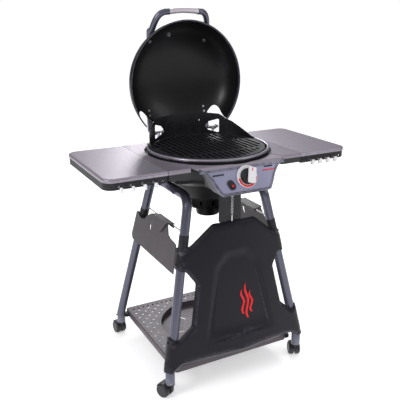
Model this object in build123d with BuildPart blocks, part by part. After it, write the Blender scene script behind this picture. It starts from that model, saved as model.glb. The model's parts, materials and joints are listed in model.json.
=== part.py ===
# Round gas grill on a four-caster cart, modelled with its lid standing open.
# Millimetres. +X right, +Y back, +Z up, the control console faces -Y.
# The origin is on the floor, below the middle of the grill's footprint.
import os
from math import cos, radians, sin, sqrt

from build123d import *

os.makedirs("parts", exist_ok=True)

# ---------------------------------------------------------------- driving sizes
bowl_y = -11.0           # Y of the bowl's axis
shelf_z = 900.0          # working height: top of deck and folding shelves
shelf_front = -233.0     # shelf front edge, from the bowl's axis
shelf_back = 208.0       # shelf back edge, from the bowl's axis
seam_x = 281.0           # fold line between deck and folding shelf
outer_x = 511.0          # outer edge of the folding shelves
shelf_corner = 38.0      # plan radius of the outer shelf corners

leg_r = 18.0             # leg tube radius
leg_wall = 1.6
leg_foot_x = 296.0       # leg axis at the floor end
leg_top_x = 164.5        # leg axis at the top of the inverted U
leg_foot_front = -248.0
leg_foot_back = 276.0
leg_top_front = -150.0
leg_top_back = 176.0
leg_bend_z = 112.0       # the legs turn upright below this height
leg_top_z = 766.0
leg_end_z = 66.0
splay = (leg_foot_x - leg_top_x) / (leg_top_z - leg_bend_z)
rake = (leg_top_front - leg_foot_front) / (leg_top_z - leg_bend_z)

caster_r = 28.0          # caster wheel radius
caster_trail = 27.0      # swivel axis to wheel axis

bowl_r = 238.0           # outer radius of the fire bowl's rim
lip_r = 237.0            # centre radius of the rolled lip
lip_z = 911.0
lip_tube = 5.6
guard_r = 229.5          # outer radius of the rear wind guard
guard_top = 1003.0
grate_r = 224.0
grate_top = 915.0

hinge_y = 192.0          # lid hinge axis, from the bowl's axis
hinge_z = 944.0
lid_angle = 90.7         # how far the open lid stands from closed
lid_rim_r = 249.5
lid_rim_z = 917.4        # rim plane height when closed
lid_height = 150.0
lid_gap_x = 188.0        # half width of the gap at the lid's back
lid_gap_h = 101.0

console_x = 194.0
face_top_y, face_top_z = -260.0, 897.0
face_low_y, face_low_z = -297.0, 801.0
knob_x, knob_z = 8.0, 855.0
igniter_x, igniter_z = -60.0, 834.0

tray_x = 262.0
tray_front, tray_back = -226.0, 305.0
tray_z = 110.0
well_x, well_y, well_r, well_depth = 8.0, 38.0, 192.0, 26.0


def level(z):
    """Horizontal plane at height z, centred on the bowl's axis."""
    return Plane(origin=(0, bowl_y, z), x_dir=(1, 0, 0), z_dir=(0, 0, 1))


def across(x=0.0):
    """Upright plane facing +X; its axes are Y (from the bowl's axis) and Z."""
    return Plane(origin=(x, bowl_y, 0), x_dir=(0, 1, 0), z_dir=(1, 0, 0))


def facing(y=0.0):
    """Upright plane facing the user (-Y); its axes are X and Z."""
    return Plane(origin=(0, bowl_y + y, 0), x_dir=(1, 0, 0), z_dir=(0, -1, 0))


def opened(part):
    """Swing a piece drawn with the lid closed to the open position."""
    hinge = Axis((0, bowl_y + hinge_y, hinge_z), (1, 0, 0))
    return part.rotate(hinge, -lid_angle)


def save(part, name):
    part.label = name
    export_step(part, "parts/" + name + ".step")


def mirrored(part):
    with BuildPart() as other:
        mirror(part, about=Plane.YZ)
    return other.part


# ================================================================ leg frames
leg_points = [
    (-leg_foot_x, bowl_y + leg_foot_front, leg_end_z),
    (-leg_foot_x, bowl_y + leg_foot_front, leg_bend_z),
    (-leg_top_x, bowl_y + leg_top_front, leg_top_z),
    (-leg_top_x, bowl_y + leg_top_back, leg_top_z),
    (-leg_foot_x, bowl_y + leg_foot_back, leg_bend_z),
    (-leg_foot_x, bowl_y + leg_foot_back, leg_end_z),
]
with BuildPart() as left_leg_frame:
    with BuildLine() as leg_path:
        FilletPolyline(*leg_points, radius=54)
    with BuildSketch(Plane(origin=leg_points[0], x_dir=(1, 0, 0), z_dir=(0, 0, 1))):
        Circle(leg_r)
        Circle(leg_r - leg_wall, mode=Mode.SUBTRACT)
    sweep(path=leg_path.wires()[0], transition=Transition.RIGHT)
save(left_leg_frame.part, "left_leg_frame")
save(mirrored(left_leg_frame.part), "right_leg_frame")


def leg_axis(z, front, side=-1):
    """Point on a splayed leg's centre line at height z, in the part's frame."""
    x = leg_foot_x - splay * (z - leg_bend_z)
    y = leg_foot_front + rake * (z - leg_bend_z)
    if not front:
        back_rake = (leg_foot_back - leg_top_back) / (leg_top_z - leg_bend_z)
        y = leg_foot_back - back_rake * (z - leg_bend_z)
    return Vector(side * x, bowl_y + y, z)


# black grip sleeves pushed on all four legs, the panels hang against them
with BuildPart() as leg_sleeves:
    for side in (-1, 1):
        for front in (True, False):
            low = leg_axis(568 if front else 560, front, side)
            top = leg_axis(628 if front else 622, front, side)
            up = top - low
            with BuildSketch(Plane(origin=low, z_dir=up)):
                Circle(leg_r + 1.2)
                Circle(leg_r + 0.05, mode=Mode.SUBTRACT)
            extrude(amount=up.length)
save(leg_sleeves.part, "leg_sleeves")

# plastic plugs in the leg ends carry the caster stems
with BuildPart() as caster_sockets:
    for side in (-1, 1):
        for foot in (leg_foot_front, leg_foot_back):
            with BuildSketch(Plane(origin=(side * leg_foot_x, bowl_y + foot, 60))):
                Circle(leg_r)
                Circle(5.1, mode=Mode.SUBTRACT)
            extrude(amount=leg_end_z - 60)
            with BuildSketch(Plane(origin=(side * leg_foot_x, bowl_y + foot, leg_end_z))):
                Circle(leg_r - leg_wall - 0.1)
                Circle(5.1, mode=Mode.SUBTRACT)
            extrude(amount=28)
save(caster_sockets.part, "caster_sockets")

# ================================================================ casters
# name: (side, foot y, trail direction in degrees from +Y towards -X)
casters = {
    "caster_front_left": (-1, leg_foot_front, 24.0),
    "caster_front_right": (1, leg_foot_front, -24.0),
    "caster_back_left": (-1, leg_foot_back, 4.0),
    "caster_back_right": (1, leg_foot_back, -10.0),
}
for caster_name, (side, foot, turn) in casters.items():
    stem_x, stem_y = side * leg_foot_x, bowl_y + foot
    trail = Vector(-sin(radians(turn)), cos(radians(turn)), 0)
    axle = Vector(cos(radians(turn)), sin(radians(turn)), 0)
    hub = Vector(stem_x, stem_y, caster_r) + trail * caster_trail
    wheel_plane = Plane(origin=hub, x_dir=trail, z_dir=axle)
    with BuildPart() as fork:
        # web between the two wheels, reaching back under the stem
        with BuildSketch(wheel_plane):
            Circle(11)
            with BuildLine():
                Polyline((-caster_trail - 8.5, 15), (-caster_trail - 8.5, 30.5), (12, 30.5),
                         (11, 0), (-6, -8), (-caster_trail - 8.5, 15))
            make_face()
            Circle(4.1, mode=Mode.SUBTRACT)
        extrude(amount=3.6, both=True)
        # hood over the wheels
        with BuildSketch(wheel_plane):
            Circle(31.4)
            Circle(29.4, mode=Mode.SUBTRACT)
            with Locations((0, -22)):
                Rectangle(80, 64, mode=Mode.SUBTRACT)
        extrude(amount=18, both=True)
        # round neck and pivot stem
        with BuildSketch(Plane(origin=(stem_x, stem_y, 53.5))):
            Circle(9)
        extrude(amount=5.5)
        with BuildSketch(Plane(origin=(stem_x, stem_y, 59))):
            Circle(5.0)
        extrude(amount=32)
    save(fork.part, caster_name + "_fork")
    with BuildPart() as wheels:
        with BuildSketch(wheel_plane):
            Circle(4.0)
        extrude(amount=20, both=True)
        for end in (1, -1):
            out = Plane(origin=hub + axle * (4.6 * end), x_dir=trail, z_dir=axle * end)
            with BuildSketch(out):
                Circle(caster_r)
            extrude(amount=14)
            with BuildSketch(out.offset(14)):
                Circle(caster_r)
            extrude(amount=5, taper=38)
    save(wheels.part, caster_name + "_wheels")

# ================================================================ bottom tray
with BuildPart() as bottom_tray:
    tray_mid = (tray_front + tray_back) / 2
    with BuildSketch(level(tray_z - 26)):
        with Locations((0, tray_mid)):
            RectangleRounded(2 * tray_x, tray_back - tray_front, 14)
    extrude(amount=26)
    fillet(bottom_tray.faces().sort_by(Axis.Z)[-1].edges(), 4)
    with BuildSketch(level(tray_z - 26)):
        with Locations((0, tray_mid)):
            RectangleRounded(2 * tray_x - 4, tray_back - tray_front - 4, 12)
    extrude(amount=24, mode=Mode.SUBTRACT)
    # round well that seats the gas bottle
    with BuildSketch(level(tray_z - well_depth - 1.6)):
        with Locations((well_x, well_y)):
            Circle(well_r + 1.6)
    extrude(amount=well_depth)
    with BuildSketch(level(tray_z - well_depth)):
        with Locations((well_x, well_y)):
            Circle(well_r)
    extrude(amount=well_depth, mode=Mode.SUBTRACT)
    # drain slots in the well's floor
    with BuildSketch(level(tray_z - well_depth - 1.6)):
        with Locations((well_x, well_y)):
            with PolarLocations(120, 6):
                SlotOverall(40, 9)
    extrude(amount=1.6, mode=Mode.SUBTRACT)
    # staggered drain holes around the well
    holes = []
    for row in range(22):
        y = tray_front + 32 + row * 21.5
        for col in range(11):
            x = -238 + col * 47.6 + (23.8 if row % 2 else 0)
            away = ((x - well_x) ** 2 + (y - well_y) ** 2) ** 0.5
            if abs(x) <= 240 and y < tray_back - 44 and away > well_r + 14:
                holes.append((x, y))
    with BuildSketch(level(tray_z - 2)):
        with Locations(*holes):
            Circle(4.6)
    extrude(amount=2, mode=Mode.SUBTRACT)
    # a row of tall slots along the back edge
    with BuildSketch(level(tray_z - 2)):
        with Locations(*[(-234 + i * 23.4, tray_back - 31) for i in range(21)]):
            SlotOverall(14, 8, rotation=90)
    extrude(amount=2, mode=Mode.SUBTRACT)
save(bottom_tray.part, "bottom_tray")

# spacer blocks between the tray's skirt and the four legs
with BuildPart() as tray_spacers:
    for side in (-1, 1):
        for y in (tray_front + 14, leg_foot_back):
            with BuildSketch(level(tray_z - 24)):
                with Locations((side * (tray_x + 8), y)):
                    Rectangle(15.9, 22)
            extrude(amount=16)
            with Locations((side * leg_foot_x, bowl_y + (leg_foot_front if y < 0 else leg_foot_back), 94)):
                Cylinder(leg_r + 0.05, 40, mode=Mode.SUBTRACT)
save(tray_spacers.part, "tray_spacers")

# ================================================================ front panel
panel_wall = 4.0


def panel_block(grow, top=690.0, low=100.0, deep=34.0):
    """Solid block behind the panel's bowed front; grow moves its skin inwards."""
    with BuildPart() as block:
        for z in (low, top):
            half = leg_foot_x + leg_r + 6 - splay * (z - leg_bend_z) - grow
            front = leg_foot_front - leg_r - 6 + rake * (z - leg_bend_z) + grow
            with BuildSketch(level(z)):
                with BuildLine():
                    ThreePointArc((-half, front), (0, front - 31), (half, front))
                    Polyline((half, front), (half, front + deep), (-half, front + deep), (-half, front))
                make_face()
        loft(ruled=True)
    return block.part


def half_outline(points):
    """Close a right-hand outline by mirroring it to the left."""
    return points + [(-x, z) for x, z in reversed(points)]


panel_edge = half_outline([
    (0, 666), (92, 666), (168, 604), (186, 590), (250, 586), (250, 508), (222, 503),
    (206, 496), (174, 450), (204, 290), (262, 240), (288, 250), (340, 256), (340, 118),
    (286, 118), (252, 143), (0, 143),
])
recess_edge = half_outline([(0, 548), (44, 548), (92, 500), (150, 240), (0, 240)])
skin = panel_block(0)
with BuildPart() as front_panel:
    add(skin)
    add(panel_block(panel_wall, top=691, low=99, deep=80), mode=Mode.SUBTRACT)
    # thicker pad behind the moulded recess
    with BuildSketch(facing()):
        Polygon(*[(x * 1.07, 394 + (z - 394) * 1.07) for x, z in recess_edge], align=None)
    pad = extrude(amount=420, mode=Mode.PRIVATE)
    pad = pad & skin.moved(Location((0, 3.0, 0)))
    pad = pad - skin.moved(Location((0, 12.5, 0)))
    add(pad)
    with BuildSketch(facing()):
        Polygon(*recess_edge, align=None)
    dish = extrude(amount=420, mode=Mode.PRIVATE)
    dish = dish - skin.moved(Location((0, 8.5, 0)))
    add(dish, mode=Mode.SUBTRACT)
    with BuildSketch(facing()):
        Polygon(*panel_edge, align=None)
    extrude(amount=420, mode=Mode.INTERSECT)
save(front_panel.part, "front_panel")

# a raised symbol of three rising heat waves on the panel's recess
with BuildPart() as panel_symbol:
    with BuildSketch(facing()):
        for x, low, high in ((14, 292, 392), (33, 272, 414), (52, 292, 380)):
            mid, reach = (low + high) / 2, (high - low) / 4
            with BuildLine():
                Spline((x, low), (x - 6, low + reach), (x + 3, mid), (x - 7, mid + reach), (x + 1, high))
                Spline((x + 1, high), (x + 2, mid + reach), (x + 12, mid), (x + 3, low + reach), (x + 7, low))
                Line((x + 7, low), (x, low))
            make_face()
    extrude(amount=420)
    add(skin.moved(Location((0, 7.5, 0))), mode=Mode.INTERSECT)
    add(skin.moved(Location((0, 8.5, 0))), mode=Mode.SUBTRACT)
save(panel_symbol.part, "panel_symbol")

# ================================================================ side panels
# plane of the left panel's outer skin; its axes are -Y and the leg's slope
slope = Vector(splay, 0, 1).normalized()
outward = Vector(-slope.Z, 0, slope.X)
skin_at = Vector(-leg_foot_x + splay * (0 - leg_bend_z), bowl_y, 0) + outward * (leg_r + 6)
side_plane = Plane(origin=skin_at, x_dir=(0, -1, 0), z_dir=outward)
rod_z, rod_r = 634.0, 2.6
stretch = 1 / slope.Z     # height to distance up the sloping skin


def up(points):
    """Outline in (Y, height) turned into the side plane's own axes."""
    return [(-y, z * stretch) for y, z in points]


with BuildPart() as left_side_panel:
    # plate between the legs, with a tongue that carries the pocket flap
    with BuildSketch(side_plane.offset(-3)):
        Polygon(*up([(241, 494), (224, 478), (-180, 478), (-163, 586), (-150, 590), (-112, 594),
                     (-90, 602), (-72, 637), (62, 637), (86, 632), (118, 612), (140, 592),
                     (172, 586), (196, 592), (214, 606), (225.4, 598)]), align=None)
    extrude(amount=3)
    # rim that reaches round behind the back leg
    with BuildSketch(side_plane.offset(-30)):
        Polygon(*up([(241, 494), (238, 494), (222.4, 598), (225.4, 598)]), align=None)
    extrude(amount=28)
    # lower rim turned in for stiffness
    with BuildSketch(side_plane.offset(-12)):
        Polygon(*up([(186, 478), (-150, 478), (-150, 481), (186, 481)]), align=None)
    extrude(amount=10)
    # the tongue folds over the hanging rod and down behind it
    with BuildSketch(side_plane.offset(-31)):
        Polygon(*up([(60, 637), (-70, 637), (-70, 640), (60, 640)]), align=None)
    extrude(amount=31)
    with BuildSketch(side_plane.offset(-31)):
        Polygon(*up([(60, 622), (-70, 622), (-70, 638), (60, 638)]), align=None)
    extrude(amount=3)
    # pocket flap standing off the plate
    with BuildSketch(side_plane.offset(3)):
        Polygon(*up([(60, 640), (-70, 640), (-30, 592), (64, 592)]), align=None)
    extrude(amount=3)
    with BuildSketch(side_plane.offset(-1)):
        Polygon(*up([(60, 637), (-70, 637), (-70, 640), (60, 640)]), align=None)
    extrude(amount=7)
    # finger slot beside the flap
    with BuildSketch(side_plane.offset(-4)):
        Polygon(*up([(84, 596), (68, 596), (68, 562), (76, 566)]), align=None)
    extrude(amount=5, mode=Mode.SUBTRACT)
save(left_side_panel.part, "left_side_panel")
save(mirrored(left_side_panel.part), "right_side_panel")

# thin wire rods from leg to leg carry the side panels
with BuildPart() as panel_rods:
    for side in (-1, 1):
        a = leg_axis(rod_z, False, side) + Vector(0, -leg_r - 0.65, 0)
        b = leg_axis(rod_z, True, side) + Vector(0, leg_r + 0.65, 0)
        run = b - a
        with BuildSketch(Plane(origin=a, z_dir=run)):
            Circle(rod_r)
        extrude(amount=run.length)
save(panel_rods.part, "panel_rods")

# ================================================================ fire bowl
bowl_out = [(238, 868), (236, 825), (195, 800), (153, 785.5)]
bowl_in = [(236, 868), (234, 828), (193.5, 803), (151.5, 787.8)]
half_plane = Plane(origin=(0, bowl_y, 0), x_dir=(1, 0, 0), z_dir=(0, -1, 0))
with BuildPart() as bowl:
    with BuildSketch(half_plane):
        with BuildLine():
            Line((238, 905.3), (238, 868))
            Bezier(*bowl_out)
            Line((153, 785.5), (111, 724))
            Line((111, 724), (34, 722))
            Line((34, 722), (34, 724))
            Line((34, 724), (109.8, 726))
            Line((109.8, 726), (151.5, 787.8))
            Bezier(*reversed(bowl_in))
            Line((236, 868), (236, 905.3))
            Line((236, 905.3), (238, 905.3))
        make_face()
    revolve(axis=Axis((0, bowl_y, 0), (0, 0, 1)))
    # hole for the burner's feed tube
    with BuildSketch(facing(-150)):
        with Locations((0, 800)):
            Circle(9.4)
    extrude(amount=70, mode=Mode.SUBTRACT)
save(bowl.part, "bowl")

# the bowl as one solid lump, used to trim what sits around it
with BuildPart() as bowl_room:
    with BuildSketch(half_plane):
        with BuildLine():
            Line((0, 960), (238.2, 960))
            Line((238.2, 960), (238.2, 868))
            Bezier((238.2, 868), (236.2, 824.6), (195.2, 799.6), (153.2, 785.1))
            Line((153.2, 785.1), (111.2, 723.6))
            Line((111.2, 723.6), (0, 721))
            Line((0, 721), (0, 960))
        make_face()
    revolve(axis=Axis((0, bowl_y, 0), (0, 0, 1)))

with BuildPart() as rim_ring:
    with BuildSketch(half_plane):
        with Locations((lip_r, lip_z)):
            Circle(lip_tube)
    revolve(axis=Axis((0, bowl_y, 0), (0, 0, 1)))
save(rim_ring.part, "rim_ring")

# ledge ring inside the bowl's mouth that carries the grate and the guard
with BuildPart() as grate_ledge:
    with BuildSketch(half_plane):
        Polygon((212, 898), (236, 898), (236, 900.6), (212, 900.6), align=None)
        Polygon((212, 884), (214, 884), (214, 898), (212, 898), align=None)
    revolve(axis=Axis((0, bowl_y, 0), (0, 0, 1)))
save(grate_ledge.part, "grate_ledge")

# slotted heat shield hanging under the bowl
duct_y, duct_low = -175.0, 645.0
with BuildPart() as heat_shield:
    with BuildSketch(half_plane):
        Polygon((94, 721.8), (96, 721.8), (88, 678), (60, 676), (60, 678), (86.2, 680), align=None)
    revolve(axis=Axis((0, bowl_y, 0), (0, 0, 1)))
    with BuildSketch(level(676)):
        with PolarLocations(88, 12, start_angle=15):
            Rectangle(40, 10)
    extrude(amount=32, mode=Mode.SUBTRACT)
    with BuildSketch(level(676)):
        Circle(89)
        Circle(86, mode=Mode.SUBTRACT)
    extrude(amount=2.4)
    # square duct in front of it, from the bowl down behind the front panel
    with BuildSketch(level(duct_low)):
        with Locations((0, duct_y)):
            Rectangle(62, 60)
            Rectangle(58, 56, mode=Mode.SUBTRACT)
    extrude(amount=785 - duct_low)
    add(bowl_room.part, mode=Mode.SUBTRACT)
save(heat_shield.part, "heat_shield")

# grease cup that hooks under the shield
with BuildPart() as grease_cup:
    with BuildSketch(half_plane):
        Polygon((0, 636), (44, 636), (50, 675.4), (58, 675.4), (58, 673.4), (51.6, 673.4),
                (45.6, 634), (0, 634), align=None)
    revolve(axis=Axis((0, bowl_y, 0), (0, 0, 1)))
save(grease_cup.part, "grease_cup")

# perforated burner ring with its feed tube running out to the console
with BuildPart() as burner:
    with BuildSketch(level(790)):
        Circle(103)
        Circle(81, mode=Mode.SUBTRACT)
    extrude(amount=18)
    with BuildSketch(facing(-90)):
        with Locations((0, 800)):
            Circle(8.8)
    extrude(amount=140)
    with BuildSketch(level(726)):
        with PolarLocations(92, 3, start_angle=90):
            Circle(4)
    extrude(amount=66)
    with BuildSketch(level(802)):
        with PolarLocations(92, 24, start_angle=7.5):
            Circle(2)
    extrude(amount=6, mode=Mode.SUBTRACT)
save(burner.part, "burner")

# dished emitter plate between burner and grate
with BuildPart() as emitter:
    with BuildSketch(half_plane):
        Polygon((0, 862), (150, 862), (196, 872), (208, 888), (211.2, 888), (211.2, 886),
                (209, 886), (197, 870), (150.3, 860), (0, 860), align=None)
    revolve(axis=Axis((0, bowl_y, 0), (0, 0, 1)))
    for radius in (40, 75, 110, 140):
        with BuildSketch(level(862)):
            Circle(radius + 3)
            Circle(radius, mode=Mode.SUBTRACT)
        extrude(amount=4)
save(emitter.part, "emitter")

# ================================================================ cooking grate
with BuildPart() as grate:
    with BuildSketch(level(grate_top - 13)):
        Circle(grate_r)
        for i in range(-8, 9):
            x = i * 23.6
            reach = ((grate_r - 11) ** 2 - (abs(x) + 5.5) ** 2) ** 0.5
            with Locations((x, 0)):
                SlotOverall(2 * reach, 12.4, rotation=90, mode=Mode.SUBTRACT)
    extrude(amount=13)
    with BuildSketch(level(grate_top - 13)):
        with Locations((0, 40), (0, -118)):
            Rectangle(2 * grate_r, 17)
        Circle(grate_r - 2, mode=Mode.INTERSECT)
    extrude(amount=12)
save(grate.part, "grate")

# ================================================================ rear wind guard
with BuildPart() as rear_guard:
    with BuildSketch(level(901)):
        Circle(guard_r)
        Circle(guard_r - 1.6, mode=Mode.SUBTRACT)
    extrude(amount=guard_top - 901)
    with BuildSketch(facing(300)):
        Polygon(*half_outline([(0, 1003), (118, 1003), (150, 1000), (163, 990), (170, 982),
                               (187, 973), (204, 956), (218, 938), (229, 916), (232, 905), (232, 900),
                               (0, 900)]), align=None)
    extrude(amount=300 + 8, mode=Mode.INTERSECT)
    # windows for the lid's hinges
    for side in (-1, 1):
        with BuildSketch(facing(300)):
            Polygon(*[(side * x, z) for x, z in
                      ((98, 950), (112, 966), (146, 978), (150, 974), (150, 922), (144, 921), (112, 930))],
                    align=None)
        extrude(amount=260, mode=Mode.SUBTRACT)
    with BuildSketch(facing(300)):
        with Locations((-75, 973), (75, 973)):
            Circle(2.4)
    extrude(amount=200, mode=Mode.SUBTRACT)
save(rear_guard.part, "rear_guard")

# ================================================================ lid hinges, fixed half
with BuildPart() as hinge_brackets:
    for side in (-1, 1):
        for x in (112.0, 149.0):
            with BuildSketch(across(side * x)):
                Polygon((218, 862), (234, 862), (234, 932), (198, 952), (188, 950), (185, 941),
                        (196, 934), (218, 922), align=None)
                with Locations((hinge_y, hinge_z)):
                    Circle(7.5)
                    Circle(4.05, mode=Mode.SUBTRACT)
            extrude(amount=1.5, both=True)
        with BuildSketch(level(862)):
            with Locations((side * 130.5, 205)):
                Rectangle(40, 58)
        extrude(amount=34)
    add(bowl_room.part, mode=Mode.SUBTRACT)
save(hinge_brackets.part, "hinge_brackets")

with BuildPart() as hinge_pins:
    for side in (-1, 1):
        with BuildSketch(across(side * 108.0)):
            with Locations((hinge_y, hinge_z)):
                Circle(4.0)
        extrude(amount=side * 44)
        for x in (108.0, 152.0):
            with BuildSketch(across(side * x)):
                with Locations((hinge_y, hinge_z)):
                    RegularPolygon(6.5, 6)
            extrude(amount=side * (-3 if x < 120 else 3))
save(hinge_pins.part, "hinge_pins")

# ================================================================ deck and shelves
seam_gap = 0.8
skirt = 34.0


def deck_outline(inset):
    """Left deck seen from above: seam, front edge, console seam, bowl circle."""
    with BuildSketch() as flat:
        Polygon((-seam_x + seam_gap, shelf_front), (-console_x - seam_gap, shelf_front),
                (-176.5, -178), (-130, -120), (-130, 150), (-157, 188), (-157, shelf_back),
                (-seam_x + seam_gap, shelf_back), align=None)
        Circle(250, mode=Mode.SUBTRACT)
        if inset:
            offset(amount=-inset)
    return flat.sketch


with BuildPart() as left_deck:
    with BuildSketch(level(shelf_z - skirt)):
        add(deck_outline(0))
    extrude(amount=skirt)
    chamfer(left_deck.faces().sort_by(Axis.Y)[0].edges().sort_by(Axis.Z)[-1:], 4)
    with BuildSketch(level(shelf_z - skirt)):
        add(deck_outline(2))
    extrude(amount=skirt - 2, mode=Mode.SUBTRACT)
save(left_deck.part, "left_deck")
save(mirrored(left_deck.part), "right_deck")

# struts from the leg frames' tops up to the decks
with BuildPart() as deck_struts:
    for side in (-1, 1):
        for y in (-62, 62):
            with BuildSketch(facing(y)):
                Polygon(*[(side * x, z) for x, z in
                          ((182.7, 754), (182.7, 778), (204, 797), (224, 819), (241, 845),
                           (262, 866), (262, 897.9), (268, 897.9), (268, 850), (250, 826))], align=None)
            extrude(amount=3)
save(deck_struts.part, "deck_struts")


def shelf_outline(inset):
    """Left folding shelf from above, its outer corners rounded."""
    x0, x1 = -outer_x + inset, -seam_x - seam_gap - inset
    y0, y1 = shelf_front + inset, shelf_back - inset
    with BuildSketch() as flat:
        Polygon((x0, y0), (x1, y0), (x1, y1), (x0, y1), align=None)
        fillet(flat.vertices().group_by(Axis.X)[0], shelf_corner - inset)
    return flat.sketch


pan_deep = 14.0
with BuildPart() as left_shelf_top:
    with BuildSketch(level(shelf_z - pan_deep)):
        add(shelf_outline(0))
    extrude(amount=pan_deep)
    rim = left_shelf_top.faces().sort_by(Axis.Z)[-1].edges()
    fillet(rim.sort_by(Axis.X)[:-1], 7)
    with BuildSketch(level(shelf_z - pan_deep)):
        add(shelf_outline(2.4))
    extrude(amount=pan_deep - 3.0, mode=Mode.SUBTRACT)
save(left_shelf_top.part, "left_shelf_top")
save(mirrored(left_shelf_top.part), "right_shelf_top")

# tool hooks sit in the front skirt; the fifth hole of each shelf is left empty
hook_left = [-460.0, -418.0, -376.0, -336.0, -299.0]
hook_right = [326.0, 363.0, 400.0, 437.0, 474.0]
hook_z = 870.0


fold_x, fold_z = 281.4, 857.5     # pivot of the folding shelves
knuckle_y = (-170.0, 146.0)       # back face of each hinge knuckle
knuckle_long = 12.0


def shelf_frame(side, hooks):
    """Plastic frame under a folding shelf: skirt, cross ribs and hinge tongue."""
    with BuildPart() as frame:
        with BuildSketch(level(860)):
            add(shelf_outline(2.5))
            add(shelf_outline(6.0), mode=Mode.SUBTRACT)
        extrude(amount=37)
        for y in (-120, 0, 110):
            with BuildSketch(level(876)):
                with Locations((-(outer_x + seam_x) / 2, y)):
                    Rectangle(outer_x - seam_x - 10, 4)
            extrude(amount=21)
        # ribs beside each hook hole
        with BuildSketch(level(862)):
            for x in hooks:
                with Locations((-abs(x) - 9, shelf_front + 9), (-abs(x) + 9, shelf_front + 9)):
                    Rectangle(2, 8)
        extrude(amount=34)
        with BuildSketch(facing(shelf_front + 14)):
            with Locations(*[(-abs(x), hook_z) for x in hooks]):
                Circle(4.5)
        extrude(amount=14, mode=Mode.SUBTRACT)
        # notches for the hinge ears, then the knuckles that turn on the hinge pins
        for y in knuckle_y:
            with BuildSketch(facing(y + 8)):
                Polygon((-292, 850), (-276, 850), (-276, 868), (-292, 868), align=None)
            extrude(amount=knuckle_long + 16, mode=Mode.SUBTRACT)
            with BuildSketch(facing(y)):
                Polygon((-290, 869.5), (-284.3, 869.5), (-284.3, 862), (-281.4, 857.5),
                        (-286, 854), (-290, 860), align=None)
                with Locations((-fold_x, fold_z)):
                    Circle(5.2)
                    Circle(2.55, mode=Mode.SUBTRACT)
            extrude(amount=knuckle_long)
    return frame.part if side < 0 else mirrored(frame.part)


def shelf_hooks(hooks):
    with BuildPart() as wires:
        for x in hooks:
            with BuildLine() as bend:
                FilletPolyline((x, bowl_y + shelf_front + 10, hook_z), (x, bowl_y + shelf_front - 6, hook_z),
                               (x, bowl_y + shelf_front - 9, hook_z - 15),
                               (x, bowl_y + shelf_front - 18, hook_z - 16),
                               (x, bowl_y + shelf_front - 20, hook_z - 9), radius=3)
            start = Plane(origin=(x, bowl_y + shelf_front + 10, hook_z), z_dir=(0, -1, 0))
            with BuildSketch(start):
                Circle(1.8)
            sweep(path=bend.wires()[-1])
            with BuildSketch(start):
                Circle(6.5)
            extrude(amount=-2)
            with BuildSketch(start.offset(3.7)):
                Circle(6.5)
                Circle(1.7, mode=Mode.SUBTRACT)
            extrude(amount=-0.6)
    return wires.part


def hook_tips(hooks):
    with BuildPart() as tips:
        for x in hooks:
            with Locations((x, bowl_y + shelf_front - 20.6, hook_z - 5.6)):
                Sphere(4.6)
    return tips.part


left_hooks = shelf_hooks(hook_left[:-1])
right_hooks = shelf_hooks(hook_right[:-1])
save(shelf_frame(-1, hook_left), "left_shelf_frame")
save(shelf_frame(1, hook_right), "right_shelf_frame")
save(left_hooks, "left_hooks")
save(right_hooks, "right_hooks")
save(hook_tips(hook_left[:-1]) - left_hooks, "left_hook_tips")
save(hook_tips(hook_right[:-1]) - right_hooks, "right_hook_tips")

# ================================================================ console
face_run = Vector(0, face_low_y - face_top_y, face_low_z - face_top_z)
face_out = Vector(0, face_run.Z, -face_run.Y).normalized()


def console_block(thin):
    """Console volume: side profile, front outline and plan outline together."""
    with BuildPart() as block:
        with BuildSketch(across(-220)):
            with BuildLine():
                Polyline((-150, 899 - thin), (-246, 899 - thin), (face_top_y + thin * 0.5, face_top_z - 5),
                         (face_low_y + thin, face_low_z + 0), (face_low_y + thin + 6, 796 + thin * 0.6),
                         (face_low_y + 40, 794 + thin), (-150, 794 + thin), (-150, 899 - thin))
            make_face()
        extrude(amount=440)
        with BuildSketch(facing(-100)):
            Polygon(*half_outline([(0, 900), (console_x - thin, 900), (176 - thin, 894),
                                   (152 - thin, 877), (134 - thin, 855), (117 - thin, 822),
                                   (104 - thin, 802 + thin * 0.4), (88 - thin, 792 + thin), (0, 792 + thin)]),
                    align=None)
        extrude(amount=220, mode=Mode.INTERSECT)
        with BuildSketch(level(780)):
            back = -178 if thin == 0 else -120
            Polygon((console_x - thin, shelf_front), (176 - thin, -178), (176 - thin, back), (-176 + thin, back),
                    (-176 + thin, -178), (-console_x + thin, shelf_front),
                    (-console_x + thin, -320), (console_x - thin, -320), align=None)
            if thin == 0:
                Circle(250, mode=Mode.SUBTRACT)
        extrude(amount=140, mode=Mode.INTERSECT)
    return block.part


with BuildPart() as console:
    add(console_block(0))
    add(console_block(2.4), mode=Mode.SUBTRACT)
save(console.part, "console")

# black housing between the console's shell and the bowl
with BuildPart() as console_housing:
    add(console_block(2.6))
    add(console_block(5.2), mode=Mode.SUBTRACT)
    with BuildSketch(facing(-150)):
        Rectangle(420, 300, align=(Align.CENTER, Align.MIN))
        Rectangle(420, 896, align=(Align.CENTER, Align.MIN))
    extrude(amount=face_low_y * -1 - 150 - 7, mode=Mode.INTERSECT)
    add(bowl_room.part, mode=Mode.SUBTRACT)
    with BuildSketch(facing(-150)):      # clearance for the burner's feed tube and the gas pipe
        with Locations((0, 800)):
            Circle(12)
    extrude(amount=130, mode=Mode.SUBTRACT)


def face_plane(x, z, lift=0.0):
    """Plane lying on the console's sloping face at (x, z)."""
    along = (z - face_top_z) / (face_low_z - face_top_z)
    y = face_top_y + along * (face_low_y - face_top_y)
    return Plane(origin=Vector(x, bowl_y + y, z) + face_out * lift, x_dir=(1, 0, 0), z_dir=face_out)


def face_hole(x, z, r):
    """Round cutter through the console's face."""
    with BuildPart(mode=Mode.PRIVATE) as cutter:
        with BuildSketch(face_plane(x, z, -24)):
            Circle(r)
        extrude(amount=32)
    return cutter.part


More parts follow.
